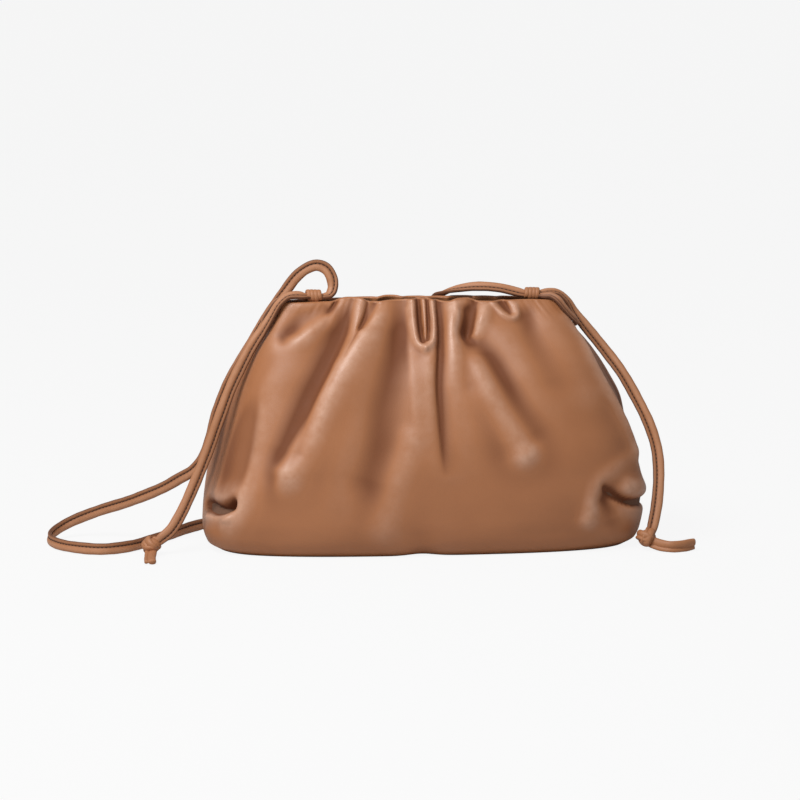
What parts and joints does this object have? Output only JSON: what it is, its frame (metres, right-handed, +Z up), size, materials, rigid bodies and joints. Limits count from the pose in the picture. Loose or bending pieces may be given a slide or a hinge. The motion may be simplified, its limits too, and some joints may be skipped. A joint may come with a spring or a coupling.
{
  "type": "gathered pouch bag",
  "caption": "Soft tan leather pouch gathered on a straight narrow mouth, with a rounded belly, tucked sides, flat base and a thin knotted shoulder strap that lies loose.",
  "frame": {"origin": "middle of the pouch's flat base, on the surface it stands on", "axes": "+Z up, -Y out of the front of the pouch, +X along its width to the viewer's right"},
  "size_m": [0.3344, 0.1018, 0.1487],
  "materials": {
    "bag_leather": "smooth satin, softly creased",
    "strap_leather": "smooth satin, stitched along one edge",
    "loop_leather": "smooth satin"
  },
  "bodies": {
    "root": {"pouch": "bag_leather", "strap_main": "strap_leather", "strap_tail_left": "strap_leather", "strap_tail_right": "strap_leather", "corner_loop_left": "loop_leather", "corner_loop_right": "loop_leather", "slip_knot_left": "strap_leather", "slip_knot_right": "strap_leather", "end_knot_left": "strap_leather", "end_knot_right": "strap_leather"}
  },
  "joints": []
}
